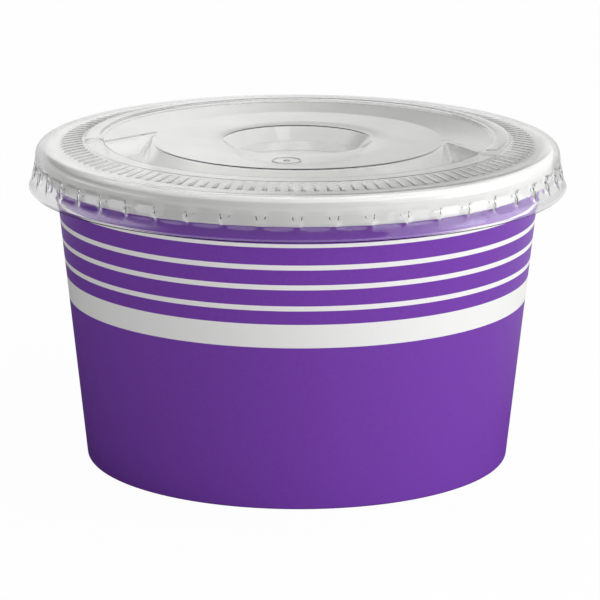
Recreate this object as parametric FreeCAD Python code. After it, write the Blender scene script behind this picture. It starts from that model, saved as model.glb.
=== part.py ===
# A paper dessert cup with its clear snap lid, in millimetres.
# The origin is at the middle of the ring that the cup stands on, and +Z points up.
# The front of the cup is at -Y. The lap seam of the paper is at the back.
import FreeCAD, Part
import math
import os

# Paperboard
board = 0.45
seal_gap = 0.03

# Cup, over its printed outer face
base_radius = 39.7
wall_taper_deg = 5.95
cup_height = 59.0
foot_bend = 0.5

# Rolled rim
curl_height = 5.3
curl_width = 1.65
curl_roundness = 0.45
tuck_length = 1.8

# Bottom of the cup
base_recess = 6.6
hem_length = 5.2
skirt_length = 5.4
base_bend = 0.5

# Lap seam
lap_width = 8.0

# Lid sheet and its fit over the rolled rim
lid_sheet = 0.3
seat_gap = 0.3
side_gap = 0.55

# Lid skirt
skirt_depth = 7.8
skirt_flare = 1.44
bead_drop = 3.3
bead_lean = 0.3
bead_bend = 1.9
flare_bend = 9.0

# Ribbed ring of the lid
rib_ring_outer = 44.65
rib_ring_inner = 39.6
rib_ring_rise = 0.75
rib_count = 120
rib_groove_width = 0.6
rib_groove_depth = 0.2
rib_end_margin = 0.35

# Raised back of the lid, which ends beside the channel
plateau_rise = 0.5
plateau_fall = 0.45
plateau_step_width = 0.4
plateau_flank = 0.2

# Channel, disc and dimple
channel_radius = 36.1
channel_depth = 2.9
channel_draft = 0.4
channel_half_angle = 75.0
channel_run_deg = 23.0
end_wall_run = 1.85
disc_radius = 27.2
disc_drop = 0.35
disc_wall_run = 2.2
dimple_radius = 13.8
dimple_depth = 2.5
dimple_wall_run = 2.4
form_bend = 0.2
lid_turn_deg = -7.5

# Snap crimps pressed into the skirt
crimp_count = 48
crimp_width = 4.4
crimp_height = 3.2
crimp_depth = 0.4
crimp_lift = 1.9

TAPER = math.radians(wall_taper_deg)
AXIS = FreeCAD.Vector(0, 0, 1)
CENTRE = FreeCAD.Vector(0, 0, 0)
REACH = 200.0


def at(r, z):
    """A point in the half plane that is spun round the axis."""
    return FreeCAD.Vector(r, 0, z)


def left_of(a, b):
    """The unit vector to the left of the way from a to b."""
    way = (b - a).normalize()
    return FreeCAD.Vector(-way.z, 0, way.x)


def run_of(corners, shift):
    """Edges and ends of a line through corners (r, z, bend), moved left by shift, with round bends."""
    points = [at(r, z) for r, z, bend in corners]
    edges = []
    start = points[0] + left_of(points[0], points[1]) * shift
    first = start
    for i in range(1, len(points) - 1):
        before, corner, after = points[i - 1], points[i], points[i + 1]
        way_in = (corner - before).normalize()
        way_out = (after - corner).normalize()
        turn = math.acos(max(-1.0, min(1.0, way_in.dot(way_out))))
        side = 1 if way_in.x * way_out.z - way_in.z * way_out.x > 0 else -1
        bend = corners[i][2]
        reach = bend * math.tan(turn / 2)
        middle = corner - way_in * reach + left_of(before, corner) * side * bend
        radius = bend - side * shift
        into = middle - left_of(before, corner) * side * radius
        out = middle - left_of(corner, after) * side * radius
        top = middle + (corner - middle).normalize() * radius
        edges.append(Part.LineSegment(start, into).toShape())
        edges.append(Part.Arc(into, top, out).toShape())
        start = out
    last = points[-1] + left_of(points[-2], points[-1]) * shift
    edges.append(Part.LineSegment(start, last).toShape())
    return edges, first, last


def spun(edges):
    """The solid that a closed outline makes when it is spun round the axis."""
    face = Part.Face(Part.Wire(Part.__sortEdges__(edges)))
    return face.revolve(CENTRE, AXIS, 360)


def spun_sheet(corners, thickness):
    """A sheet of one thickness, spun, that lies to the left of its line of corners."""
    near, near_first, near_last = run_of(corners, 0)
    far, far_first, far_last = run_of(corners, thickness)
    ends = [
        Part.LineSegment(near_first, far_first).toShape(),
        Part.LineSegment(near_last, far_last).toShape(),
    ]
    return spun(near + far + ends)


def wall_line(height, inward):
    """The cup's radius at a height, a distance inward from its printed face."""
    return base_radius + height * math.tan(TAPER) - inward / math.cos(TAPER)


def hem_inset():
    """How far the hem's printed face lies inside the wall's."""
    return 3 * board + 2 * seal_gap


def cup_wall():
    """One blank of board: hem, foot, wall and rolled rim, with its lap seam."""
    printed_top = cup_height - board
    curl_outer = wall_line(cup_height, 0) + curl_width
    curl_bottom = cup_height - curl_height + board
    tuck = board + seal_gap
    bend = curl_roundness * (curl_width - board)
    corners = [
        (wall_line(hem_length, hem_inset()), hem_length, 0),
        (wall_line(0, hem_inset()), 0, foot_bend),
        (wall_line(0, 0), 0, foot_bend),
        (wall_line(printed_top, 0), printed_top, bend),
        (curl_outer - board, printed_top, bend),
        (curl_outer - board, curl_bottom, bend),
        (wall_line(curl_bottom, -tuck), curl_bottom, bend - seal_gap),
        (wall_line(curl_bottom + tuck_length, -tuck), curl_bottom + tuck_length, 0),
    ]
    blank = spun_sheet(corners, board)
    return blank.fuse(lap_seam()).removeSplitter()


def lap_seam():
    """The second layer of board where the blank's ends overlap, at the back."""
    low = foot_bend
    high = cup_height - curl_height - board
    span = high - low
    layer = Part.makeCone(wall_line(low, -board), wall_line(high, -board), span, at(0, low))
    under = board / 2
    core = Part.makeCone(wall_line(low, under), wall_line(high, under), span, at(0, low))
    corner = FreeCAD.Vector(-lap_width / 2, 0, 0)
    strip = Part.makeBox(lap_width, REACH, cup_height, corner)
    return layer.cut(core).common(strip)


def cup_base():
    """The bottom disc of board, with its skirt turned down inside the hem."""
    skirt_inset = board + seal_gap
    skirt_foot = base_recess - skirt_length
    corners = [
        (wall_line(skirt_foot, skirt_inset), skirt_foot, 0),
        (wall_line(base_recess, skirt_inset), base_recess, base_bend + board),
        (0, base_recess, 0),
    ]
    return spun_sheet(corners, board)


def bead_top():
    """The height of the lid's outer face over the rolled rim."""
    return cup_height + seat_gap + lid_sheet


def bead_radius():
    """The lid's outer radius beside the rolled rim."""
    return wall_line(cup_height, 0) + curl_width + side_gap + crimp_depth + lid_sheet


def strip_height():
    """The height of the ribbed ring's inner edge and of the strip round the channel."""
    return bead_top() + rib_ring_rise


def disc_height():
    return strip_height() - disc_drop


def lid_corners(floor):
    """The lid's outer face from the foot of its skirt to its middle, channel all round."""
    bead = bead_radius()
    hollow = disc_height() - dimple_depth
    edge = form_bend + lid_sheet
    return [
        (bead + skirt_flare, bead_top() - skirt_depth, 0),
        (bead + bead_lean, bead_top() - bead_drop, flare_bend),
        (bead, bead_top(), bead_bend),
        (rib_ring_outer, bead_top(), form_bend),
        (rib_ring_inner, strip_height(), edge),
        (channel_radius, strip_height(), edge),
        (channel_radius - channel_draft, floor, form_bend),
        (disc_radius + disc_wall_run, floor, form_bend),
        (disc_radius, disc_height(), edge),
        (dimple_radius, disc_height(), edge),
        (dimple_radius - dimple_wall_run, hollow, form_bend),
        (0, hollow, 0),
    ]


def under(corners, shift, bottom):
    """All that lies below a line of corners moved down by shift, spun."""
    edges, outer, inner = run_of(corners, shift)
    outline = edges + [
        Part.LineSegment(inner, at(inner.x, bottom)).toShape(),
        Part.LineSegment(at(inner.x, bottom), at(outer.x, bottom)).toShape(),
    ]
    if outer.z > bottom:
        outline.append(Part.LineSegment(at(outer.x, bottom), outer).toShape())
    return spun(outline)


def plateau_corners():
    """The outer face of the lid's raised back, from its outer edge in to the disc."""
    inner_edge = channel_radius + plateau_step_width
    low = strip_height() + plateau_rise - plateau_fall
    edge = form_bend + lid_sheet
    return [
        (rib_ring_inner + plateau_flank, strip_height() - plateau_rise, 0),
        (rib_ring_inner, strip_height() + plateau_rise, edge),
        (inner_edge, strip_height() + plateau_rise, edge),
        (channel_radius, low, form_bend),
        (disc_radius - form_bend, disc_height(), 0),
    ]


def room_beside(start, end, run, drop, shift):
    """The room to the right of the way from start to end, beyond a wall that slopes as it drops."""
    top = strip_height() + plateau_rise
    back_off = shift / math.cos(math.atan2(run, drop))
    high = top + drop
    low = top - 2 * drop
    outline = [
        at((top - low) * run / drop - back_off, low),
        at((top - high) * run / drop - back_off, high),
        at(REACH, high),
        at(REACH, low),
    ]
    face = Part.Face(Part.makePolygon(outline + outline[:1]))
    face.translate(FreeCAD.Vector(0, -REACH, 0))
    room = face.extrude(FreeCAD.Vector(0, 2 * REACH, 0))
    way = end - start
    room.rotate(CENTRE, AXIS, math.degrees(math.atan2(-way.x, way.y)))
    room.translate(start)
    return room


def in_front(start, end, run, drop, shift):
    """The room between a wall on the right and its mirror image on the left."""
    right = room_beside(start, end, run, drop, shift)
    left = right.mirror(CENTRE, FreeCAD.Vector(1, 0, 0))
    behind = FreeCAD.Vector(-REACH, disc_radius / 2, -REACH)
    return right.common(left).cut(Part.makeBox(2 * REACH, REACH, 2 * REACH, behind))


def bearing(angle_deg, radius):
    """A point at an angle from the front, counted towards +X."""
    angle = math.radians(angle_deg)
    return FreeCAD.Vector(math.sin(angle), -math.cos(angle), 0) * radius


def plateau(shift, bottom):
    """The raised back of the lid, cut off by its end walls beside the channel."""
    corner = bearing(channel_half_angle, channel_radius)
    start = bearing(channel_half_angle + channel_run_deg, disc_radius)
    drop = plateau_rise + channel_depth
    whole = under(plateau_corners(), shift, bottom)
    core = Part.makeCylinder(channel_radius, REACH, at(0, -REACH / 2))
    inside = whole.common(core).cut(in_front(start, corner, end_wall_run, drop, shift))
    step_room = in_front(CENTRE, corner, plateau_rise, plateau_rise, shift)
    return inside.fuse(whole.cut(core).cut(step_room))


def rib_grooves(shift):
    """The radial grooves between the ribs, grown by shift."""
    slope = math.atan2(rib_ring_rise, rib_ring_outer - rib_ring_inner)
    slant = (rib_ring_outer - rib_ring_inner) / math.cos(slope)
    length = slant - 2 * rib_end_margin + 2 * shift
    width = rib_groove_width + 2 * shift
    corner = FreeCAD.Vector(rib_end_margin - shift, -width / 2, -rib_groove_depth - shift)
    groove = Part.makeBox(length, width, rib_groove_depth + shift + plateau_rise, corner)
    groove.rotate(CENTRE, FreeCAD.Vector(0, 1, 0), math.degrees(slope))
    groove.translate(at(rib_ring_inner, strip_height()))
    return around(groove, rib_count, 0)


def crimps(shift):
    """The dents pressed into the skirt under the rolled rim, grown by shift."""
    width = crimp_width + 2 * shift
    inner = bead_radius() - crimp_depth - shift
    low = bead_top() - skirt_depth + crimp_lift - shift
    corner = FreeCAD.Vector(inner, -width / 2, low)
    dent = Part.makeBox(REACH, width, crimp_height + 2 * shift, corner)
    return around(dent, crimp_count, 0.5)


def around(shape, count, offset):
    """Copies of a shape that lies over +X, spaced evenly round the axis from the front."""
    copies = []
    for i in range(count):
        copy = shape.copy()
        copy.rotate(CENTRE, AXIS, 360 * (i + offset) / count - 90)
        copies.append(copy)
    return copies


def lid_form(shift, bottom):
    """All that lies below the lid's outer face when that is moved inward by shift."""
    floor = strip_height() - channel_depth
    form = under(lid_corners(floor), shift, bottom)
    form = form.fuse(plateau(shift, bottom))
    form = form.cut(rib_grooves(shift))
    return form.cut(crimps(shift))


def lid():
    """One clear sheet drawn over the form: the outer form less the inner one."""
    foot = bead_top() - skirt_depth
    sheet = lid_form(0, foot).cut(lid_form(lid_sheet, foot - lid_sheet))
    sheet.rotate(CENTRE, AXIS, lid_turn_deg)
    return sheet


parts = {"cup_wall": cup_wall(), "cup_base": cup_base(), "lid": lid()}
os.makedirs("parts", exist_ok=True)
for name, shape in parts.items():
    solids = shape.Solids
    whole = solids[0] if len(solids) == 1 else shape
    whole.exportStep("parts/" + name + ".step")
    box = shape.BoundBox
    print(name, "solids", len(solids), "valid", shape.isValid(), "volume", round(shape.Volume, 1))
    print("  x", round(box.XMin, 2), round(box.XMax, 2), "z", round(box.ZMin, 2), round(box.ZMax, 2))
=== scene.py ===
# %% [markdown]
# # A paper dessert cup with a clear snap lid
#
# The object has three pieces. A blank of printed paperboard is rolled into a tapered wall, with its
# top edge curled into a rim and its bottom edge folded in as a hem. A white disc of the same board
# is held in that hem. A lid, drawn from one sheet of clear plastic, snaps over the rim.
#
# The imported model fixes where everything is and what size the pieces are, so it is loaded first.

# %% Load the frame
import math

import bpy
from mathutils import Matrix, Vector


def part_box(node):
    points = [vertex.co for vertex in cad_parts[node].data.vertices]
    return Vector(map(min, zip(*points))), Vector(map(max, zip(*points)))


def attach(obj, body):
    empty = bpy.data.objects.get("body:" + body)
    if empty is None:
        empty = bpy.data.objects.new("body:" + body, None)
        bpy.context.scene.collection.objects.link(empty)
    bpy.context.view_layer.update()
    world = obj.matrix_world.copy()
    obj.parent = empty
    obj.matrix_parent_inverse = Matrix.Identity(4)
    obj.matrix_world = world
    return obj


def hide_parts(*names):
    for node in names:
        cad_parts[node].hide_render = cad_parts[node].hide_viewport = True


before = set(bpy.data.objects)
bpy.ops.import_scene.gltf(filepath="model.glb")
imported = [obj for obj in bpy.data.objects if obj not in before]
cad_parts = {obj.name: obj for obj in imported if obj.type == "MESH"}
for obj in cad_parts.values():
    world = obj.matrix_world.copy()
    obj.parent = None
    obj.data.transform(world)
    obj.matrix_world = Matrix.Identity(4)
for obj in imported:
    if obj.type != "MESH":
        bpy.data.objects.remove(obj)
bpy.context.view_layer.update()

MM = 0.001

# %% [markdown]
# ## Sizes in millimetres
#
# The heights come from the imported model. What it doesn't state, such as the thickness of a sheet,
# is the stock size that such cups are made from. Round pieces get 240 steps, because the lid's ribs
# and crimps are pressed out of whole faces, and 240 can be shared out evenly to both.

# %% Sizes
BOARD = 0.45
FILM = 0.3
TAPER = math.radians(5.95)
FOOT_RADIUS = 39.7
cup_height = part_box("cup_wall")[1].z / MM
base_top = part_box("cup_base")[1].z / MM
skirt_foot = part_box("lid")[0].z / MM
skirt_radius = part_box("lid")[1].x / MM
ROUND_STEPS = 240
print("cup", round(cup_height, 2), "base", round(base_top, 2))
print("lid foot", round(skirt_foot, 2), "radius", round(skirt_radius, 2))

# %% [markdown]
# ## Drawing a section and spinning it
#
# Everything here is round, and a round thin-walled thing is described best by its section. On a
# bench it would be drawn as one line of points with rounded bends and then spun about the axis, and
# Blender's extrude and spin tools do the same. The line's bends are worked out as short arcs. The
# same line moved sideways by the sheet's thickness gives the other face, which keeps the sheet
# even all round each bend. Edit mode works on what is selected, so two small helpers open and close
# it with nothing selected, and a third selects faces or vertices by where they are.


# %% Section helpers
ARC_STEP = 15
FOUND = 0.001
MERGED = 0.002


def rounded(corners, shift=0.0):
    """Points of a line through corners (r, z, bend), moved left by shift, with round bends."""
    count = len(corners)
    spots = [Vector((r, z)) for r, z, bend in corners]
    ways = [(spots[i + 1] - spots[i]).normalized() for i in range(count - 1)]
    lefts = [Vector((-way.y, way.x)) for way in ways]
    points = [spots[0] + lefts[0] * shift]
    for i in range(1, count - 1):
        bend = corners[i][2]
        if bend == 0:
            points.append(spots[i] + lefts[i - 1] * shift)
            continue
        turn = ways[i - 1].angle_signed(ways[i])
        side = -1 if turn > 0 else 1
        back = ways[i - 1] * bend * math.tan(abs(turn) / 2)
        middle = spots[i] - back + lefts[i - 1] * side * bend
        spoke = lefts[i - 1] * -side * (bend - side * shift)
        steps = max(2, round(math.degrees(abs(turn)) / ARC_STEP))
        for k in range(steps + 1):
            angle = side * abs(turn) * k / steps
            turned = Vector((
                spoke.x * math.cos(angle) - spoke.y * math.sin(angle),
                spoke.x * math.sin(angle) + spoke.y * math.cos(angle),
            ))
            points.append(middle + turned)
    points.append(spots[-1] + lefts[-1] * shift)
    return points


def take(obj):
    """Makes one object the only one that is selected."""
    bpy.ops.object.select_all(action="DESELECT")
    bpy.context.view_layer.objects.active = obj
    obj.select_set(True)


def in_edit(obj, mode):
    """Opens one object in edit mode with nothing selected, in vertex or face mode."""
    take(obj)
    bpy.ops.object.mode_set(mode="EDIT")
    bpy.ops.mesh.select_mode(type=mode)
    bpy.ops.mesh.select_all(action="DESELECT")


def out_of_edit():
    """Goes back to object mode with nothing selected."""
    bpy.ops.object.mode_set(mode="OBJECT")
    bpy.ops.object.select_all(action="DESELECT")


def pick(obj, kind, test):
    """Selects the vertices or faces of an object in edit mode that pass a test, and counts them."""
    bpy.ops.mesh.select_all(action="DESELECT")
    bpy.ops.object.mode_set(mode="OBJECT")
    items = obj.data.polygons if kind == "FACE" else obj.data.vertices
    count = 0
    for item in items:
        item.select = bool(test(item))
        count += item.select
    bpy.ops.object.mode_set(mode="EDIT")
    return count


def spun(name, points, closed, steps=ROUND_STEPS):
    """Extrudes a vertex from point to point, in millimetres, and spins the line about the axis."""
    bpy.ops.object.select_all(action="DESELECT")
    bpy.ops.mesh.primitive_circle_add(vertices=3, radius=MM, location=(0, 0, 0))
    obj = bpy.context.object
    obj.name = obj.data.name = name
    in_edit(obj, "VERT")
    bpy.ops.mesh.select_all(action="SELECT")
    bpy.ops.mesh.merge(type="CENTER")
    bpy.ops.transform.translate(value=(points[0].x * MM, 0, points[0].y * MM))
    for here, there in zip(points, points[1:]):
        move = ((there.x - here.x) * MM, 0, (there.y - here.y) * MM)
        bpy.ops.mesh.extrude_region_move(TRANSFORM_OT_translate={"value": move})
    if closed:
        ends = [Vector((p.x * MM, 0, p.y * MM)) for p in (points[0], points[-1])]
        pick(obj, "VERT", lambda v: min((v.co - e).length for e in ends) < FOUND * MM)
        bpy.ops.mesh.edge_face_add()
    bpy.ops.mesh.select_all(action="SELECT")
    bpy.ops.mesh.spin(steps=steps, angle=math.tau, center=(0, 0, 0), axis=(0, 0, 1))
    bpy.ops.mesh.select_all(action="SELECT")
    bpy.ops.mesh.remove_doubles(threshold=MERGED * MM)
    bpy.ops.mesh.normals_make_consistent(inside=False)
    out_of_edit()
    print(name, "spun,", len(obj.data.vertices), "vertices,", len(obj.data.polygons), "faces")
    return obj


def wall_line(height, inward=0.0):
    """The cup's radius at a height, a distance inward from its printed face."""
    return FOOT_RADIUS + height * math.tan(TAPER) - inward / math.cos(TAPER)


# %% [markdown]
# ## The wall
#
# The real wall is one flat blank. Its printed face looks out, and where the top edge is rolled
# outward and down the unprinted white face comes to the outside, which is why the rim of a printed
# cup is white. The line below is the printed face: up inside the hem, round the foot, up the wall,
# over in the roll and back up to the tucked edge.

# %% Model the wall
CURL_HEIGHT = 5.3
CURL_WIDTH = 1.65
CURL_TUCK = 1.8
CURL_ROUNDNESS = 0.45
SEAL_GAP = 0.03
FOOT_BEND = 0.5
HEM_LENGTH = 5.2
hem_inset = 3 * BOARD + 2 * SEAL_GAP
printed_top = cup_height - BOARD
curl_outer = wall_line(cup_height) + CURL_WIDTH
curl_bottom = cup_height - CURL_HEIGHT + BOARD
tuck = BOARD + SEAL_GAP
curl_bend = CURL_ROUNDNESS * (CURL_WIDTH - BOARD)

wall_corners = [
    (wall_line(HEM_LENGTH, hem_inset), HEM_LENGTH, 0),
    (wall_line(0, hem_inset), 0, FOOT_BEND),
    (wall_line(0), 0, FOOT_BEND),
    (wall_line(printed_top), printed_top, curl_bend),
    (curl_outer - BOARD, printed_top, curl_bend),
    (curl_outer - BOARD, curl_bottom, curl_bend),
    (wall_line(curl_bottom, -tuck), curl_bottom, curl_bend - SEAL_GAP),
    (wall_line(curl_bottom + CURL_TUCK, -tuck), curl_bottom + CURL_TUCK, 0),
]
wall_section = rounded(wall_corners) + rounded(wall_corners, BOARD)[::-1]
wall = spun("cup_wall_board", wall_section, closed=True)


# %% [markdown]
# ## The lap seam
#
# The blank's two ends overlap in a strip about 8 mm wide, which is twice as thick as the wall. It
# sits at the back. The faces there are selected and lifted outward by one board, just as the real
# overlap lifts the outer end.

# %% Lift the lap seam
LAP_WIDTH = 8.0
LONG_FACE = 10.0


def on_lap(face):
    """Outer wall faces at the back, which are the long ones between the foot and the roll."""
    x, y, z = face.center / MM
    outside = math.hypot(x, y) > wall_line(z) - BOARD / 2
    long_enough = face.area > LONG_FACE * MM * MM
    return outside and y > 0 and abs(x) < LAP_WIDTH / 2 and long_enough


in_edit(wall, "FACE")
lap_faces = pick(wall, "FACE", on_lap)
bpy.ops.mesh.extrude_region_shrink_fatten(TRANSFORM_OT_shrink_fatten={"value": BOARD * MM})
out_of_edit()
print("lap seam faces", lap_faces)

# %% [markdown]
# ## The bottom
#
# The bottom is a disc of board pressed up into the wall. Its edge is turned down into a skirt, and
# the hem is folded up over that skirt and sealed, so that the cup stands on the fold and not on the
# disc. The line below is the disc's upper face. A Solidify modifier gives it the board's thickness,
# which saves drawing the second face and closes the cut edge too.


# %% Model the bottom
def thicken(obj, thickness):
    """Turns a sheet into a solid one, with the new face on its inner side."""
    take(obj)
    bpy.ops.object.modifier_add(type="SOLIDIFY")
    solid = obj.modifiers[-1]
    solid.thickness = thickness * MM
    solid.offset = -1
    solid.use_even_offset = True
    bpy.ops.object.modifier_apply(modifier=solid.name)
    obj.select_set(False)


SKIRT_LENGTH = 5.4
BASE_BEND = 0.95
skirt_inset = BOARD + SEAL_GAP
skirt_low = base_top - SKIRT_LENGTH
base_corners = [
    (wall_line(skirt_low, skirt_inset), skirt_low, 0),
    (wall_line(base_top, skirt_inset), base_top, BASE_BEND),
    (0, base_top, 0),
]
base = spun("cup_base_board", rounded(base_corners), closed=False)
thicken(base, BOARD)
print("bottom", len(base.data.polygons), "faces")

# %% [markdown]
# ## The lid's section
#
# The lid is one sheet drawn over a mould. From a small lip at its foot the line runs up a flared
# skirt, over a full bead that covers the rim, down into a crease, up a ribbed ring to a narrow
# strip, down into a channel, up to a flat disc and down into a dimple. A corner with no bend only
# adds a point, where the ribs and the raised back need an edge of their own. The line is then split
# into short stretches, which give the spun sheet the faces that are pressed and smoothed later.

# %% Model the lid's sheet
RIB_RISE = 0.75
PLATEAU_RISE = 0.5
BEAD_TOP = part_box("lid")[1].z / MM - PLATEAU_RISE - RIB_RISE
SKIRT_FLARE = 1.44
LIP = 0.3
BEAD_DROP = 3.3
BEAD_LEAN = 0.3
BEAD_BEND = 1.9
FLARE_BEND = 9.0
RIB_OUTER = 44.65
RIB_INNER = 39.6
RIB_END = 0.35
STRIP_HEIGHT = BEAD_TOP + RIB_RISE
STEP_WIDTH = 0.4
CHANNEL_RADIUS = 36.1
CHANNEL_DEPTH = 2.9
CHANNEL_DRAFT = 0.4
DISC_RADIUS = 27.2
DISC_DROP = 0.35
DISC_HEIGHT = STRIP_HEIGHT - DISC_DROP
DISC_RUN = 2.2
DIMPLE_RADIUS = 13.8
DIMPLE_DEPTH = 2.5
DIMPLE_RUN = 2.4
EDGE = 0.5
HOLLOW = 0.25
bead = skirt_radius - SKIRT_FLARE
channel_floor = STRIP_HEIGHT - CHANNEL_DEPTH


def rib_line(radius):
    """The height of the sloping ring at a radius."""
    return BEAD_TOP + RIB_RISE * (RIB_OUTER - radius) / (RIB_OUTER - RIB_INNER)


lid_corners = [
    (bead + SKIRT_FLARE, skirt_foot, 0),
    (bead + SKIRT_FLARE - LIP, skirt_foot + LIP, LIP),
    (bead + BEAD_LEAN, BEAD_TOP - BEAD_DROP, FLARE_BEND),
    (bead, BEAD_TOP, BEAD_BEND),
    (RIB_OUTER, BEAD_TOP, HOLLOW),
    (RIB_OUTER - RIB_END, rib_line(RIB_OUTER - RIB_END), 0),
    (RIB_INNER + RIB_END, rib_line(RIB_INNER + RIB_END), 0),
    (RIB_INNER, STRIP_HEIGHT, EDGE),
    (RIB_INNER - EDGE / 2, STRIP_HEIGHT, 0),
    (CHANNEL_RADIUS + STEP_WIDTH, STRIP_HEIGHT, 0),
    (CHANNEL_RADIUS, STRIP_HEIGHT, HOLLOW),
    (CHANNEL_RADIUS - CHANNEL_DRAFT, channel_floor, HOLLOW),
    (DISC_RADIUS + DISC_RUN, channel_floor, HOLLOW),
    (DISC_RADIUS, DISC_HEIGHT, EDGE),
    (DISC_RADIUS - EDGE, DISC_HEIGHT, 0),
    (DISC_RADIUS - EDGE - HOLLOW, DISC_HEIGHT, 0),
    (DIMPLE_RADIUS, DISC_HEIGHT, EDGE),
    (DIMPLE_RADIUS - DIMPLE_RUN, DISC_HEIGHT - DIMPLE_DEPTH, HOLLOW),
    (0, DISC_HEIGHT - DIMPLE_DEPTH, 0),
]

# %% [markdown]
# The stretches are shortest where the sheet bends most later. Under the ribs one stretch goes from
# crease to strip, so that each rib is pressed out of a single face.

# %% Spin the lid's sheet
SKIRT_STRETCH = 0.8
CHANNEL_STRETCH = 0.75
DISC_STRETCH = 5.0


def divided(points, longest):
    """The same line with every long stretch split into equal parts."""
    fine = [points[0]]
    for here, there in zip(points, points[1:]):
        parts = max(1, math.ceil((there - here).length / longest((here + there) / 2)))
        fine += [here.lerp(there, (k + 1) / parts) for k in range(parts)]
    return fine


def longest_stretch(middle):
    """How long a stretch may be at a place on the line. Under the ribs it isn't split at all."""
    if middle.x > RIB_OUTER:
        return SKIRT_STRETCH
    if middle.x > RIB_INNER:
        return RIB_OUTER
    if middle.x > DISC_RADIUS:
        return CHANNEL_STRETCH
    return DISC_STRETCH


lid = spun("lid_film", divided(rounded(lid_corners), longest_stretch), closed=False)

# %% [markdown]
# ## The ribs
#
# The ring between bead and disc is stiffened by 120 fine grooves. With 240 faces round the lid, one
# face in two makes a groove. The inset operator draws the groove's walls and presses its floor down
# in one step, as the mould does. Half a face's turn first brings the faces to where the packed
# model has them. Each groove could also be cut with a boolean, which is far slower and leaves thin
# triangles that catch the light.

# %% Press the ribs
FACE_ANGLE = 360 / ROUND_STEPS
RIB_FACES = 2
RIB_SIDE = 0.25
RIB_SLOPE = 0.2
RIB_DEPTH = 0.12


def face_number(spot):
    """Which of the faces round the lid a spot lies on, counted from just before +X."""
    return round(math.degrees(math.atan2(spot.y, spot.x)) / FACE_ANGLE) % ROUND_STEPS


def on_rib(face):
    """One face in two on the ribbed ring."""
    radius = face.center.xy.length / MM
    in_band = RIB_INNER + RIB_END < radius < RIB_OUTER - RIB_END
    return in_band and face_number(face.center) % RIB_FACES == 1


def turn_by(degrees):
    """Turns what is selected in edit mode about the lid's axis."""
    bpy.ops.transform.rotate(
        value=math.radians(degrees), orient_axis="Z", center_override=(0, 0, 0),
    )


in_edit(lid, "VERT")
bpy.ops.mesh.select_all(action="SELECT")
turn_by(FACE_ANGLE / 2)
bpy.ops.mesh.select_mode(type="FACE")
rib_faces = pick(lid, "FACE", on_rib)
bpy.ops.mesh.inset(thickness=RIB_SIDE * MM, use_individual=True)
bpy.ops.mesh.inset(thickness=RIB_SLOPE * MM, depth=-RIB_DEPTH * MM, use_individual=True)
out_of_edit()
print("rib faces", rib_faces)

# %% [markdown]
# ## The crimps
#
# The skirt has 48 shallow dents, whose lower ends catch the rim of a real cup. Four faces in five
# make a dent and the fifth stays as the ridge between two. They are pressed by inset too, this time
# as whole patches. Film doesn't fold sharply, so the ends of a dent's floor are then brought back
# out by half its depth, and the sides of each ridge are turned a little, so that it tapers
# downwards.

# %% Press the crimps
CRIMP_FACES = 5
CRIMP_LOW = skirt_foot + 1.9
CRIMP_HIGH = CRIMP_LOW + 3.2
CRIMP_SLOPE = 0.38
CRIMP_DEPTH = 0.36
CRIMP_END = 0.5
END_RISE = 0.5
RIDGE_TAPER = 0.3
crimp_middle = (CRIMP_LOW + CRIMP_HIGH) / 2


def on_crimp(face):
    """Four faces in five, in a band of the skirt."""
    on_skirt = face.center.xy.length / MM > RIB_OUTER
    in_band = on_skirt and CRIMP_LOW < face.center.z / MM < CRIMP_HIGH
    return in_band and face_number(face.center) % CRIMP_FACES != 0


def near_crimp_end(z):
    """Heights close to the upper or the lower end of a dent."""
    return not CRIMP_LOW + CRIMP_END < z < CRIMP_HIGH - CRIMP_END


def beside_ridge(spot, side, low, high):
    """Points on one side of a ridge between two dents, in a band of heights off the middle."""
    pitch = CRIMP_FACES * FACE_ANGLE
    angle = math.degrees(math.atan2(spot.y, spot.x))
    off = (angle + pitch / 2) % pitch - pitch / 2
    z = spot.z / MM
    level = low - CRIMP_END < z < high + CRIMP_END and abs(z - crimp_middle) > CRIMP_END
    on_skirt = spot.xy.length / MM > RIB_OUTER
    return level and on_skirt and FACE_ANGLE / 3 < off * side < FACE_ANGLE


in_edit(lid, "FACE")
crimp_faces = pick(lid, "FACE", on_crimp)
bpy.ops.mesh.inset(thickness=CRIMP_SLOPE * MM, depth=-CRIMP_DEPTH * MM)
bpy.ops.object.mode_set(mode="OBJECT")
pressed = {v.index for v in lid.data.vertices if v.select}
bpy.ops.object.mode_set(mode="EDIT")
bpy.ops.mesh.select_mode(type="VERT")
faded = pick(lid, "VERT", lambda v: v.index in pressed and near_crimp_end(v.co.z / MM))
wider = 1 + END_RISE * CRIMP_DEPTH / bead
bpy.ops.transform.resize(value=(wider, wider, 1), center_override=(0, 0, 0))
for side in (-1, 1):
    for low, high, turn in ((CRIMP_LOW, crimp_middle, -1), (crimp_middle, CRIMP_HIGH, 1)):
        pick(lid, "VERT", lambda v: beside_ridge(v.co, side, low, high))
        turn_by(-side * turn * RIDGE_TAPER)
out_of_edit()
print("crimp faces", crimp_faces, "points at their ends", faded)

# %% [markdown]
# ## The raised back
#
# Behind the disc the real sheet is drawn over a raised part of the mould, which ends in two
# slanting walls beside the channel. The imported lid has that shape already, so it serves as the
# mould here: the sheet's back is lifted clear above it, and a Shrinkwrap modifier lets it down onto
# it. That is close to what thermoforming does, and it leaves the sheet whole. Near the two walls
# the sheet is divided more finely first, and smoothed a little after, as hot film rounds a crease.

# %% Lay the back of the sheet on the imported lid
TURN_ANGLE = 7.5
HALF_ANGLE = 75.0
RUN_ANGLE = 23.0
END_RUN = 1.85
END_MARGIN = 0.45
FINE_BEHIND = 1.5
FINE_AHEAD = 1.0
FINE_CUTS = 2
STRIP_START = 70.0
LIFT = 20.0
lid_turn = Matrix.Rotation(math.radians(TURN_ANGLE), 3, "Z")


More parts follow.
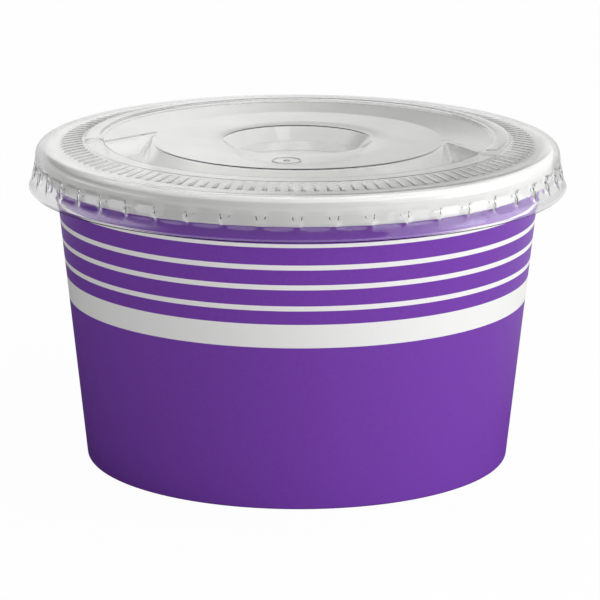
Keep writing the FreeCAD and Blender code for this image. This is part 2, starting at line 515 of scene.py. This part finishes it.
def bearing(degrees, radius):
    """A point at an angle from the front, counted towards +X, in millimetres."""
    angle = math.radians(degrees)
    return Vector((math.sin(angle), -math.cos(angle))) * radius


corner = bearing(HALF_ANGLE, CHANNEL_RADIUS)
along_end = (bearing(HALF_ANGLE + RUN_ANGLE, DISC_RADIUS) - corner).normalized()
to_channel = Vector((-along_end.y, along_end.x))
print("end wall faces", [round(v, 3) for v in to_channel])


def in_lid(spot):
    """A spot's radius, angle from the lid's front, distance ahead of the end wall, and own Y."""
    own = (lid_turn @ spot) / MM
    beside = Vector((abs(own.x), own.y))
    angle = math.degrees(math.atan2(beside.x, -beside.y))
    return beside.length, angle, (beside - corner).dot(to_channel), own.y


def on_back(spot):
    """Spots on the raised part of the mould: the slanting walls, the back and the strip there."""
    radius, angle, ahead, y = in_lid(spot)
    if radius > CHANNEL_RADIUS + HOLLOW:
        return radius < RIB_INNER + EDGE / 2 and angle > STRIP_START
    behind = ahead < END_RUN + END_MARGIN or y > DISC_RADIUS / 2
    return behind and radius > DISC_RADIUS - EDGE


def near_end_wall(spot):
    """Spots on and around one of the two slanting walls."""
    radius, angle, ahead, y = in_lid(spot)
    near = -FINE_BEHIND < ahead < END_RUN + FINE_AHEAD and abs(y) < DISC_RADIUS / 2
    return near and DISC_RADIUS - EDGE < radius < RIB_INNER


in_edit(lid, "FACE")
fine_faces = pick(lid, "FACE", lambda face: near_end_wall(face.center))
bpy.ops.mesh.subdivide(number_cuts=FINE_CUTS)
bpy.ops.mesh.select_mode(type="VERT")
back_points = pick(lid, "VERT", lambda v: on_back(v.co))
bpy.ops.object.vertex_group_assign_new()
bpy.ops.transform.translate(value=(0, 0, LIFT * MM))
out_of_edit()
print("faces refined", fine_faces, "points on the raised back", back_points)

# %% [markdown]
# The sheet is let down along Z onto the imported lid's upper side, and only the lifted points move.
# Then it gets its thickness, which goes inward so that the drawn line stays the outer face.

# %% Let the sheet down and thicken it
SOFTENING = 0.5
SOFTENING_ROUNDS = 14
take(lid)
bpy.ops.object.modifier_add(type="SHRINKWRAP")
drape = lid.modifiers[-1]
drape.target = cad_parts["lid"]
drape.wrap_method = "PROJECT"
drape.use_project_z = True
drape.use_negative_direction = True
drape.use_positive_direction = False
drape.vertex_group = lid.vertex_groups[-1].name
bpy.ops.object.modifier_apply(modifier=drape.name)
lid.vertex_groups.clear()

in_edit(lid, "VERT")
soft_points = pick(lid, "VERT", lambda v: on_back(v.co) and near_end_wall(v.co))
bpy.ops.mesh.vertices_smooth(factor=SOFTENING, repeat=SOFTENING_ROUNDS)
bpy.ops.mesh.select_all(action="SELECT")
bpy.ops.mesh.normals_make_consistent(inside=False)
out_of_edit()
thicken(lid, FILM)
heights = [v.co.z / MM for v in lid.data.vertices]
print("lid heights", round(min(heights), 2), round(max(heights), 2), "smoothed", soft_points)
triangles = sum(len(face.vertices) - 2 for face in lid.data.polygons)
print("lid faces", len(lid.data.polygons), "triangles", triangles)

# %% [markdown]
# ## The mould's mark
#
# The mould leaves a small raised mark in front of the dimple, which is two plain rings here. Each
# ring's section is spun about the axis, as the other pieces are, and then moved to its place. Its
# root goes a little way into the sheet, so that no gap shows under it.

# %% Model the mould's mark
MARK_SPOT = (-2.0, -19.5)
MARK_RINGS = [2.6, 0.45]
MARK_WIDTH = 0.35
MARK_RISE = 0.12
MARK_ROOT = 0.05
MARK_STEPS = 48
low = DISC_HEIGHT - MARK_ROOT
top = DISC_HEIGHT + MARK_RISE
rings = []
for radius in MARK_RINGS:
    section = [
        Vector((radius - MARK_WIDTH / 2, low)),
        Vector((radius + MARK_WIDTH / 2, low)),
        Vector((radius + MARK_WIDTH / 4, top)),
        Vector((radius - MARK_WIDTH / 4, top)),
    ]
    rings.append(spun("lid_mould_mark", section, closed=True, steps=MARK_STEPS))
for ring in rings:
    ring.select_set(True)
mark = rings[0]
bpy.context.view_layer.objects.active = mark
bpy.ops.object.join()
in_edit(mark, "VERT")
bpy.ops.mesh.select_all(action="SELECT")
bpy.ops.transform.translate(value=(MARK_SPOT[0] * MM, MARK_SPOT[1] * MM, 0))
out_of_edit()
print("mould mark", len(mark.data.polygons), "faces")

# %% [markdown]
# ## Shading the meshes
#
# Board and film bend smoothly, so neighbouring faces are shaded as one surface. An edge sharper
# than a limit stays sharp: on board that is a cut edge or the lap's step, and on film, whose bends
# are softer, the limit is wider.

# %% Smooth the pieces
BOARD_LIMIT = 40
FILM_LIMIT = 50
limits = [(wall, BOARD_LIMIT), (base, BOARD_LIMIT), (lid, FILM_LIMIT), (mark, FILM_LIMIT)]
for piece, limit in limits:
    take(piece)
    bpy.ops.object.shade_smooth_by_angle(angle=math.radians(limit), keep_sharp_edges=False)
    piece.select_set(False)
    print(piece.name, "shaded smooth up to", limit, "degrees")

# %% [markdown]
# ## Colours and nodes
#
# Colours are written as the hex values that a paint program shows, and one function turns them into
# the linear values that the renderer counts in. One more function adds a node with its settings,
# its values and its links. A noise texture stays mostly between 0.3 and 0.7, so the nodes that turn
# it into a gloss or a haze read about that range.


# %% Material helpers
def linear(code):
    """Linear RGBA from an sRGB hex code."""
    parts = [int(code[i:i + 2], 16) / 255 for i in (0, 2, 4)]
    return [c / 12.92 if c <= 0.04045 else ((c + 0.055) / 1.055) ** 2.4 for c in parts] + [1.0]


def add(tree, kind, values=None, links=None, **settings):
    """Adds one node, with values and links given by socket name or number."""
    made = tree.nodes.new(kind)
    for name, value in settings.items():
        setattr(made, name, value)
    for socket, value in (values or {}).items():
        made.inputs[socket].default_value = value
    for socket, source in (links or {}).items():
        tree.links.new(source, made.inputs[socket])
    return made


def empty_material(name):
    """A new material with no nodes, and its node tree."""
    material = bpy.data.materials.new(name)
    material.use_nodes = True
    material.node_tree.nodes.clear()
    return material, material.node_tree


def per_mm(size):
    """The scale of a noise texture whose features are about a size in millimetres."""
    return 1 / (size * MM)


print("hex 808080 is", round(linear("808080")[0], 3), "in linear light")

# %% [markdown]
# ## Coated board
#
# Cups are made of bleached paperboard with a smooth clay coating, which gets a thin film of
# polyethylene so that it holds liquids. The film gives the board a soft satin gloss. Under it the
# surface undulates by a few thousandths of a millimetre, which blurs highlights, and its fibres
# vary the gloss. Real fibres are finer than shows here, so they are drawn about 0.6 mm wide. The
# printed and the white side differ only in colour and gloss, so one function makes both.

# %% Describe the coated surface
FIBRE = 0.6
FIBRE_HEIGHT = 0.02
FIBRE_BUMP = 0.12
FIBRE_TINT = 0.025
UNDULATION = 7.0
UNDULATION_HEIGHT = 0.06
UNDULATION_BUMP = 0.25
GLOSS_SPREAD = 0.03
BOARD_IOR = 1.5
BOARD_SHINE = 0.15


def board_nodes(tree, colour_source, gloss):
    """The coated surface that both sides of the board share, under a colour."""
    place = add(tree, "ShaderNodeTexCoord")
    fibres = add(
        tree, "ShaderNodeTexNoise",
        {"Scale": per_mm(FIBRE), "Detail": 3.0, "Roughness": 0.6},
        {"Vector": place.outputs["Object"]},
    )
    swell = add(
        tree, "ShaderNodeTexNoise",
        {"Scale": per_mm(UNDULATION), "Detail": 1.0},
        {"Vector": place.outputs["Object"]},
    )
    roughness = add(
        tree, "ShaderNodeMapRange",
        {
            "From Min": 0.35, "From Max": 0.65,
            "To Min": gloss - GLOSS_SPREAD, "To Max": gloss + GLOSS_SPREAD,
        },
        {"Value": fibres.outputs["Fac"]},
    )
    grain = add(
        tree, "ShaderNodeBump",
        {"Strength": FIBRE_BUMP, "Distance": FIBRE_HEIGHT * MM},
        {"Height": fibres.outputs["Fac"]},
    )
    bump = add(
        tree, "ShaderNodeBump",
        {"Strength": UNDULATION_BUMP, "Distance": UNDULATION_HEIGHT * MM},
        {"Height": swell.outputs["Fac"], "Normal": grain.outputs["Normal"]},
    )
    tint = add(
        tree, "ShaderNodeMix",
        {"Factor": FIBRE_TINT},
        {6: colour_source, 7: fibres.outputs["Color"]},
        data_type="RGBA",
    )
    surface = add(
        tree, "ShaderNodeBsdfPrincipled",
        {"IOR": BOARD_IOR, "Specular IOR Level": BOARD_SHINE},
        {
            "Base Color": tint.outputs[2],
            "Roughness": roughness.outputs["Result"],
            "Normal": bump.outputs["Normal"],
        },
    )
    add(tree, "ShaderNodeOutputMaterial", None, {"Surface": surface.outputs[0]})


print("fibres per metre", round(per_mm(FIBRE)), "undulations per metre", round(per_mm(UNDULATION)))

# %% [markdown]
# ## The print
#
# The blank is offset printed before it is coated. The ink sits in flat bands with crisp edges: one
# wide white band low down and four narrow ones above it, which are bare board between purple ink. A
# picture could carry the print, but a ramp over the height stays crisp at any distance. Its stops
# are the heights of the bands' edges in millimetres, and between two stops the colour is constant.

# %% Print the bands
INK = "7437AA"
BARE = "F2F2F0"
BAND_EDGES = [30.87, 35.15, 37.77, 38.67, 41.52, 42.42, 45.34, 46.24, 49.34, 50.24]
PRINT_GLOSS = 0.4
printed, tree = empty_material("printed_coated_board")
place = add(tree, "ShaderNodeTexCoord")
height = add(tree, "ShaderNodeSeparateXYZ", None, {0: place.outputs["Object"]})
share = add(
    tree, "ShaderNodeMapRange",
    {"From Min": 0.0, "From Max": cup_height * MM},
    {"Value": height.outputs["Z"]},
)
bands = add(tree, "ShaderNodeValToRGB", None, {"Fac": share.outputs["Result"]})
bands.color_ramp.interpolation = "CONSTANT"
stops = bands.color_ramp.elements
stops[0].color = linear(INK)
stops.remove(stops[1])
for number, edge in enumerate(BAND_EDGES):
    stop = stops.new(edge / cup_height)
    stop.color = linear(BARE if number % 2 == 0 else INK)
board_nodes(tree, bands.outputs["Color"], PRINT_GLOSS)
print("printed bands", len(BAND_EDGES) // 2)

# %% [markdown]
# ## White board
#
# The wall's inner face, the roll of the rim and the bottom are the same board without ink. The
# coating is a little less glossy there, and the colour is the warm white of bleached pulp. The wall
# carries both materials, and each of its faces gets one by where it lies.

# %% Make the white board
WHITE_GLOSS = 0.46
white, tree = empty_material("white_coated_board")
paper = add(tree, "ShaderNodeRGB")
paper.outputs[0].default_value = linear(BARE)
board_nodes(tree, paper.outputs[0], WHITE_GLOSS)


def on_print(face):
    """Faces that carry ink: the wall's outside below the roll, and the hem's inside."""
    z = face.center.z / MM
    radius = face.center.xy.length / MM
    outside = radius > wall_line(z, BOARD / 2) and z < cup_height - CURL_HEIGHT
    in_hem = radius < wall_line(z, hem_inset - BOARD / 2) and z < HEM_LENGTH - BOARD / 2
    return outside or in_hem


wall.data.materials.append(printed)
wall.data.materials.append(white)
base.data.materials.append(white)
for face in wall.data.polygons:
    face.material_index = 0 if on_print(face) else 1
print("printed faces", sum(face.material_index == 0 for face in wall.data.polygons))

# %% [markdown]
# ## Clear film
#
# The lid is clear PET sheet, thermoformed. It is glossy on both sides, with a faint haze, and it
# carries the slow waves that hot film keeps when it cools on a mould. Shadow rays pass it as if it
# weren't there, because light that bends through a thin sheet arrives almost undisturbed.

# %% Make the clear film
FILM_TINT = "FDFDFD"
FILM_IOR = 1.57
HAZE_LEAST = 0.04
HAZE_MOST = 0.07
WAVES = 9.0
WAVE_HEIGHT = 0.1
WAVE_BUMP = 0.06
film, tree = empty_material("thermoformed_clear_pet")
place = add(tree, "ShaderNodeTexCoord")
waves = add(
    tree, "ShaderNodeTexNoise",
    {"Scale": per_mm(WAVES), "Detail": 2.0},
    {"Vector": place.outputs["Object"]},
)
haze = add(
    tree, "ShaderNodeMapRange",
    {"From Min": 0.3, "From Max": 0.7, "To Min": HAZE_LEAST, "To Max": HAZE_MOST},
    {"Value": waves.outputs["Fac"]},
)
bump = add(
    tree, "ShaderNodeBump",
    {"Strength": WAVE_BUMP, "Distance": WAVE_HEIGHT * MM},
    {"Height": waves.outputs["Fac"]},
)
plastic = add(
    tree, "ShaderNodeBsdfPrincipled",
    {"Base Color": linear(FILM_TINT), "IOR": FILM_IOR, "Transmission Weight": 1.0},
    {"Roughness": haze.outputs["Result"], "Normal": bump.outputs["Normal"]},
)
clear = add(tree, "ShaderNodeBsdfTransparent")
path = add(tree, "ShaderNodeLightPath")
mixed = add(
    tree, "ShaderNodeMixShader", None,
    {0: path.outputs["Is Shadow Ray"], 1: plastic.outputs[0], 2: clear.outputs[0]},
)
add(tree, "ShaderNodeOutputMaterial", None, {"Surface": mixed.outputs[0]})
lid.data.materials.append(film)
mark.data.materials.append(film)
print("film nodes", len(tree.nodes))

# %% [markdown]
# ## Floor
#
# The cup stands on a sweep of white paper, plain white in the picture, with hardly a shadow. To the
# camera, and in gloss and clear film, the paper is lit up to plain white by a share of emission,
# while its matt share still takes the cup's shadow. Close to a real cup the paper lies in its
# shade, so what gloss mirrors of the floor is dark there and turns pale further away.

# %% Make the floor
FLOOR_SIZE = 12
FLOOR_MATT = "F0F0F0"
FLOOR_GLOW = "FFFFFF"
GLOW_SHARE = 0.97
SHADE_MIDDLE = (-0.05, 0.0, 0.0)
SHADE_INNER = 0.1
SHADE_OUTER = 0.2
SHADE_DARK = 0.02
SHADE_OPEN = 0.72
bpy.ops.mesh.primitive_plane_add(size=FLOOR_SIZE, location=(0, 0, 0))
floor = bpy.context.object
floor.name = "floor"
floor.select_set(False)
sweep, tree = empty_material("white_paper_sweep")
path = add(tree, "ShaderNodeLightPath")
place = add(tree, "ShaderNodeTexCoord")
away = add(
    tree, "ShaderNodeVectorMath",
    {1: SHADE_MIDDLE},
    {0: place.outputs["Object"]},
    operation="DISTANCE",
)
near_cup = add(
    tree, "ShaderNodeMapRange",
    {
        "From Min": SHADE_INNER, "From Max": SHADE_OUTER,
        "To Min": SHADE_DARK, "To Max": SHADE_OPEN,
    },
    {"Value": away.outputs["Value"]},
)
brightness = add(
    tree, "ShaderNodeMix",
    {"A": 1.0},
    {"Factor": path.outputs["Is Glossy Ray"], "B": near_cup.outputs["Result"]},
)
seen = add(
    tree, "ShaderNodeMath", None,
    {0: path.outputs["Is Camera Ray"], 1: path.outputs["Is Transmission Ray"]},
    operation="MAXIMUM",
)
either = add(
    tree, "ShaderNodeMath", None,
    {0: seen.outputs[0], 1: path.outputs["Is Glossy Ray"]},
    operation="MAXIMUM",
)
share = add(tree, "ShaderNodeMath", {1: GLOW_SHARE}, {0: either.outputs[0]}, operation="MULTIPLY")
matt = add(tree, "ShaderNodeBsdfDiffuse", {"Color": linear(FLOOR_MATT)})
glow = add(
    tree, "ShaderNodeEmission",
    {"Color": linear(FLOOR_GLOW)},
    {"Strength": brightness.outputs["Result"]},
)
mixed = add(
    tree, "ShaderNodeMixShader", None,
    {0: share.outputs[0], 1: matt.outputs[0], 2: glow.outputs[0]},
)
add(tree, "ShaderNodeOutputMaterial", None, {"Surface": mixed.outputs[0]})
floor.data.materials.append(sweep)
print("floor", FLOOR_SIZE, "m square")

# %% [markdown]
# ## The studio
#
# Clear film has hardly a colour of its own and shows by what it mirrors, so the world is built as a
# studio would be. Behind the cup stands a pale backdrop, which the lid mirrors at a flat angle. Two
# grey screens hang in it: the one just right of the middle shades the slope behind the disc, and
# the one further left draws a dark streak along the bead. In front of the cup the room is dim up to
# about 30 degrees, as it is around a photographer, so that the skirt stays clear, and bright above.
# Pale walls close it on both sides, with a low bright strip at the foot of each, and the right side
# has a soft glow where the large lamp stands.
#
# Each tone below is a ramp of greys over the height of the direction in which a ray goes, from 0 at
# the horizon to 1 straight up. A ramp starts with its two ends, and its other stops follow.

# %% Draw the tones over the height
RAMPS = {
    "middle screen": [
        (0.0, 0.9), (1.0, 0.5), (0.19, 0.9), (0.245, 0.32), (0.42, 0.32), (0.49, 0.95),
    ],
    "left screen": [
        (0.0, 0.9), (1.0, 0.5), (0.26, 0.9), (0.34, 0.05), (0.54, 0.05), (0.7, 0.95),
    ],
    "room": [(0.0, 0.4), (1.0, 0.8), (0.06, 0.18), (0.52, 0.18), (0.7, 1.25)],
    "strip": [(0.0, 1.2), (1.0, 0.0), (0.12, 1.2), (0.2, 0.0)],
}
world = bpy.data.worlds.new("studio")
bpy.context.scene.world = world
world.use_nodes = True
tree = world.node_tree
tree.nodes.clear()
place = add(tree, "ShaderNodeTexCoord")
way = add(tree, "ShaderNodeSeparateXYZ", None, {0: place.outputs["Generated"]})
tone = {}
for name, levels in RAMPS.items():
    ramp = add(tree, "ShaderNodeValToRGB", None, {"Fac": way.outputs["Z"]})
    stops = ramp.color_ramp.elements
    for number, (rise, level) in enumerate(levels):
        stop = stops[number] if number < 2 else stops.new(rise)
        stop.position = rise
        stop.color = (level, level, level, 1.0)
    tone[name] = ramp.outputs["Color"]
print("tones", list(tone))

# %% [markdown]
# Where one part of the studio ends and the next begins is a soft edge over the direction's X, which
# grows to the right, or its Y, which grows to the back. Each row below holds the two places where
# the edge starts and ends, and the two values between which it goes.

# %% Place the edges of the parts
MATT_LEVEL = 0.68
EDGES = {
    "left screen ends": ("X", -0.25, -0.1, 0.0, 1.0),
    "middle screen starts": ("X", -0.015, 0.005, 0.0, 1.0),
    "middle screen ends": ("X", 0.1, 0.2, 0.0, 1.0),
    "right wall": ("X", 0.75, 0.95, 0.0, 1.0),
    "left wall": ("X", -0.95, -0.8, 0.0, 1.0),
    "backdrop": ("Y", -0.1, 0.25, 0.0, 1.0),
    "dimmer on the left": ("X", -0.7, 0.0, 0.9, 1.0),
    "matt tone": ("X", -0.7, 0.3, 0.4 * MATT_LEVEL, MATT_LEVEL),
}
edge = {}
for name, (axis, start, end, first, last) in EDGES.items():
    span = add(
        tree, "ShaderNodeMapRange",
        {"From Min": start, "From Max": end, "To Min": first, "To Max": last},
        {"Value": way.outputs[axis]},
    )
    edge[name] = span.outputs["Result"]
print("edges", len(edge))

# %% [markdown]
# The parts are joined from left to right behind the cup, then round the room in front of it, and
# then the front to the back.

# %% Join the backdrop and the room
OPEN_LEVEL = 0.93
LEFT_LEVEL = 0.8
RIGHT_LEVEL = 1.0
left_part = add(
    tree, "ShaderNodeMix",
    {"B": OPEN_LEVEL},
    {"Factor": edge["left screen ends"], "A": tone["left screen"]},
)
middle_part = add(
    tree, "ShaderNodeMix", None,
    {
        "Factor": edge["middle screen starts"],
        "A": left_part.outputs[0], "B": tone["middle screen"],
    },
)
backdrop = add(
    tree, "ShaderNodeMix",
    {"B": OPEN_LEVEL},
    {"Factor": edge["middle screen ends"], "A": middle_part.outputs[0]},
)
right_room = add(
    tree, "ShaderNodeMix",
    {"B": RIGHT_LEVEL},
    {"Factor": edge["right wall"], "A": tone["room"]},
)
room = add(
    tree, "ShaderNodeMix",
    {"A": LEFT_LEVEL},
    {"Factor": edge["left wall"], "B": right_room.outputs[0]},
)
studio = add(
    tree, "ShaderNodeMix", None,
    {"Factor": edge["backdrop"], "A": room.outputs[0], "B": backdrop.outputs[0]},
)
dimmed = add(
    tree, "ShaderNodeMath", None,
    {0: studio.outputs[0], 1: edge["dimmer on the left"]},
    operation="MULTIPLY",
)
print("studio nodes", len(tree.nodes))

# %% [markdown]
# The glow is brightest where a ray goes straight towards the large lamp and fades out round it. A
# mirrored square lamp would show hard edges in the film, and the glow shows none. Each low strip
# brightens the sides of the crimps that face it.

# %% Add the glow and the strips
GLOW_WAY = (0.9, 0.05, 0.43)
GLOW_START = 0.8
GLOW_LEVEL = 0.8
STRIP_FROM = 0.85
STRIP_FULL = 0.95
facing = add(
    tree, "ShaderNodeVectorMath",
    {1: GLOW_WAY},
    {0: place.outputs["Generated"]},
    operation="DOT_PRODUCT",
)
lamp_glow = add(
    tree, "ShaderNodeMapRange",
    {"From Min": GLOW_START, "To Max": GLOW_LEVEL},
    {"Value": facing.outputs["Value"]},
)
glowing = add(
    tree, "ShaderNodeMath", None,
    {0: dimmed.outputs[0], 1: lamp_glow.outputs["Result"]},
    operation="ADD",
)
aside = add(tree, "ShaderNodeMath", None, {0: way.outputs["X"]}, operation="ABSOLUTE")
at_side = add(
    tree, "ShaderNodeMapRange",
    {"From Min": STRIP_FROM, "From Max": STRIP_FULL},
    {"Value": aside.outputs[0]},
)
strips = add(
    tree, "ShaderNodeMath", None,
    {0: tone["strip"], 1: at_side.outputs["Result"], 2: glowing.outputs[0]},
    operation="MULTIPLY_ADD",
)
print("glow towards", GLOW_WAY)

# %% [markdown]
# Matt surfaces don't mirror the studio. They see it as one even tone, darker on the left.

# %% Light matt surfaces evenly
AIR = "FFFFFF"
path = add(tree, "ShaderNodeLightPath")
strength = add(
    tree, "ShaderNodeMix", None,
    {
        "Factor": path.outputs["Is Diffuse Ray"],
        "A": strips.outputs[0], "B": edge["matt tone"],
    },
)
air = add(
    tree, "ShaderNodeBackground",
    {"Color": linear(AIR)},
    {"Strength": strength.outputs[0]},
)
add(tree, "ShaderNodeOutputWorld", None, {"Surface": air.outputs[0]})
print("world nodes", len(tree.nodes))

# %% [markdown]
# ## Lamps
#
# Three soft lamps light the cup: a large strong one far to the right, which makes the purple
# lighter on that side, a weak one in front on the right, and one above, behind the cup, that
# reaches its inside through the lid. The film mirrors only the last one, because the glow in the
# world already stands for the large lamp.

# %% Place the lamps
LAMP_DISTANCE = 1.1
# Name: size in metres, power in watts, degrees right of the camera, degrees above the floor, and
# whether gloss mirrors it.
LAMPS = {
    "key": (1.0, 5.9, 62, 30, False),
    "front": (0.9, 0.5, 25, 40, False),
    "top": (0.6, 1.0, 150, 75, True),
}
cup_middle = Vector((0, 0, cup_height * MM / 2))
for name, (size, power, azimuth, elevation, mirrored) in LAMPS.items():
    lamp = bpy.data.lights.new(name, "AREA")
    lamp.size = size
    lamp.energy = power
    softbox = bpy.data.objects.new(name, lamp)
    bpy.context.collection.objects.link(softbox)
    rise = math.radians(elevation)
    flat = bearing(azimuth, LAMP_DISTANCE * math.cos(rise))
    softbox.location = (flat.x, flat.y, LAMP_DISTANCE * math.sin(rise))
    softbox.rotation_euler = (softbox.location - cup_middle).to_track_quat("Z", "Y").to_euler()
    softbox.visible_glossy = mirrored
    print(name, "lamp at", [round(v, 2) for v in softbox.location])

# %% [markdown]
# ## Camera
#
# The camera's angle, distance and lens were worked out from the photograph's ellipses. It looks
# down at the cup by almost 14 degrees from about 70 cm, through a long lens. The Standard view
# transform shows colours as they are written.

# %% Place the camera
TARGET = Vector((0.505, 0, 29.134)) * MM
DISTANCE = 0.697
TILT = math.radians(13.843)
ROLL = math.radians(0.176)
FOCAL_LENGTH = 221.8
SENSOR_WIDTH = 36
lens = bpy.data.cameras.new("camera")
lens.lens = FOCAL_LENGTH
lens.sensor_width = SENSOR_WIDTH
camera = bpy.data.objects.new("camera", lens)
bpy.context.collection.objects.link(camera)
stand = TARGET + Vector((0, -math.cos(TILT), math.sin(TILT))) * DISTANCE
turned = Matrix.Rotation(math.pi / 2 - TILT, 4, "X") @ Matrix.Rotation(ROLL, 4, "Z")
camera.matrix_world = Matrix.Translation(stand) @ turned
bpy.context.scene.camera = camera
bpy.context.scene.view_settings.view_transform = "Standard"
print("camera at", [round(v, 4) for v in stand])

# %% [markdown]
# ## Joining the frame
#
# Each finished piece takes the place of its imported node and rides on that node's body.

# %% Hand the pieces over
for piece, node, body, slot in (
    (wall, "cup_wall", "cup", "printed_board"),
    (base, "cup_base", "cup", "white_board"),
    (lid, "lid", "lid", "clear_film"),
):
    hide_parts(node)
    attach(piece, body)
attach(mark, "lid")

bpy.context.view_layer.update()
